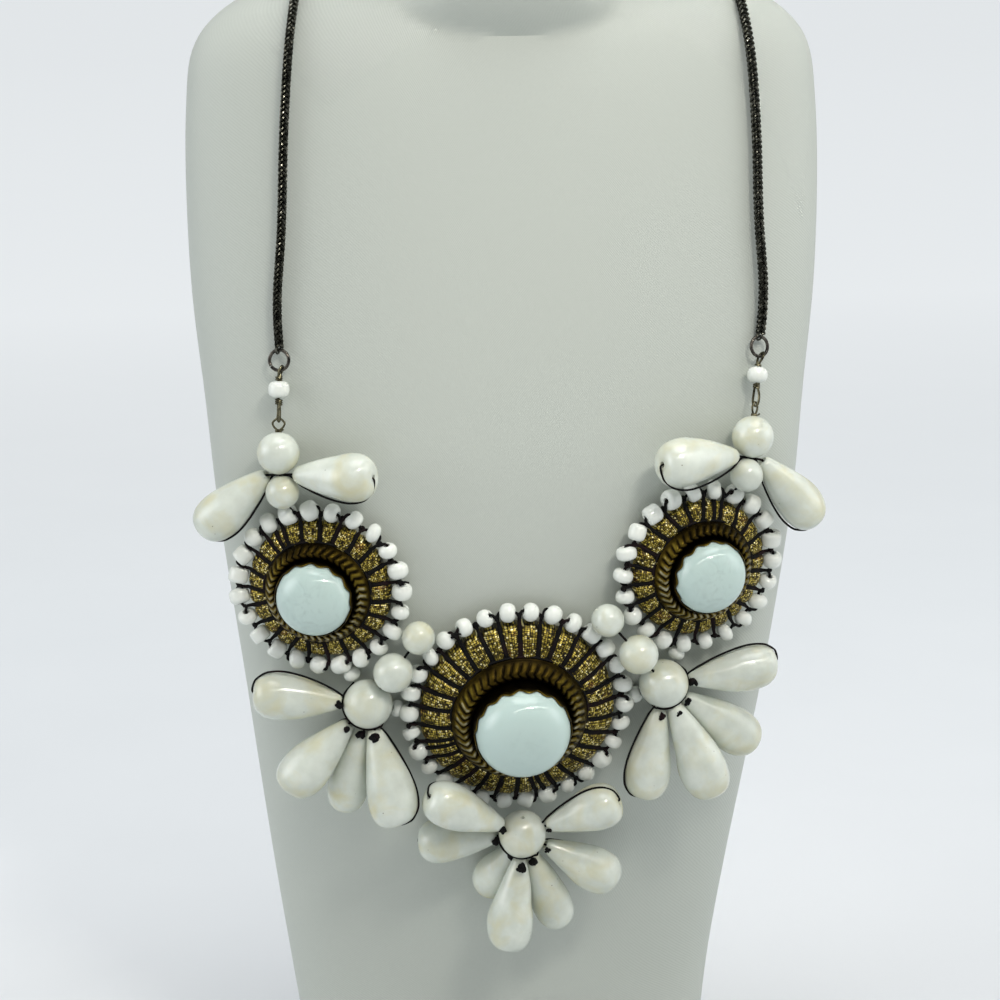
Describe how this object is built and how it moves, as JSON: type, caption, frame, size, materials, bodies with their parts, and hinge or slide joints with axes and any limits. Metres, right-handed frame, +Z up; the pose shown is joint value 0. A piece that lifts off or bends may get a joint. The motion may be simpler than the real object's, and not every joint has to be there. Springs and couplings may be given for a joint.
{
  "type": "bib necklace on neck bust",
  "caption": "Bib necklace of white stone beads and drops with stitched gold cloth medallions and pale glass cabochons on dark chains, lying on a plain neck bust.",
  "frame": {"origin": "on the bust's flat base, below the middle of the shoulders", "axes": "+Z up, the front of the necklace faces -Y, +X to the right as seen from the front"},
  "size_m": [0.1547, 0.0997, 0.358],
  "materials": {
    "leatherette": "fine-grained, dull",
    "white_stone": "polished",
    "seed_beads": "opaque, glossy",
    "milk_glass": "opaque, polished",
    "old_brass": "aged, stamped",
    "dark_brass": "oxidised",
    "gold_cloth": "metallic weave"
  },
  "bodies": {
    "root": {"cabochon_centre": "milk_glass", "cabochon_left": "milk_glass", "cabochon_right": "milk_glass", "chain_left": "dark_brass", "chain_right": "dark_brass", "clasp": "dark_brass", "drop_bottom_1": "white_stone", "drop_bottom_2": "white_stone", "drop_bottom_3": "white_stone", "drop_bottom_4": "white_stone", "drop_bottom_5": "white_stone", "drop_bottom_6": "white_stone", "drop_bottom_7": "white_stone", "drop_left_1": "white_stone", "drop_left_2": "white_stone", "drop_left_3": "white_stone", "drop_left_4": "white_stone", "drop_right_1": "white_stone", "drop_right_2": "white_stone", "drop_right_3": "white_stone", "drop_right_4": "white_stone", "drop_top_left_1": "white_stone", "drop_top_left_2": "white_stone", "drop_top_right_1": "white_stone", "drop_top_right_2": "white_stone", "edge_beads_centre": "seed_beads", "edge_beads_left": "seed_beads", "edge_beads_right": "seed_beads", "eye_wire_left": "dark_brass", "eye_wire_right": "dark_brass", "hub_bead_bottom": "white_stone", "hub_bead_left": "white_stone", "hub_bead_right": "white_stone", "join_bead_left": "white_stone", "join_bead_right": "white_stone", "jump_ring_left": "dark_brass", "jump_ring_right": "dark_brass", "link_bead_left": "white_stone", "link_bead_right": "white_stone", "link_wire_left": "dark_brass", "link_wire_right": "dark_brass", "neck_bust": "leatherette", "pad_centre": "gold_cloth", "pad_left": "gold_cloth", "pad_right": "gold_cloth", "setting_centre": "old_brass", "setting_left": "old_brass", "setting_right": "old_brass", "small_bead_left": "white_stone", "small_bead_right": "white_stone", "small_bead_top_left": "white_stone", "small_bead_top_right": "white_stone", "top_bead_left": "white_stone", "top_bead_right": "white_stone"}
  },
  "joints": []
}
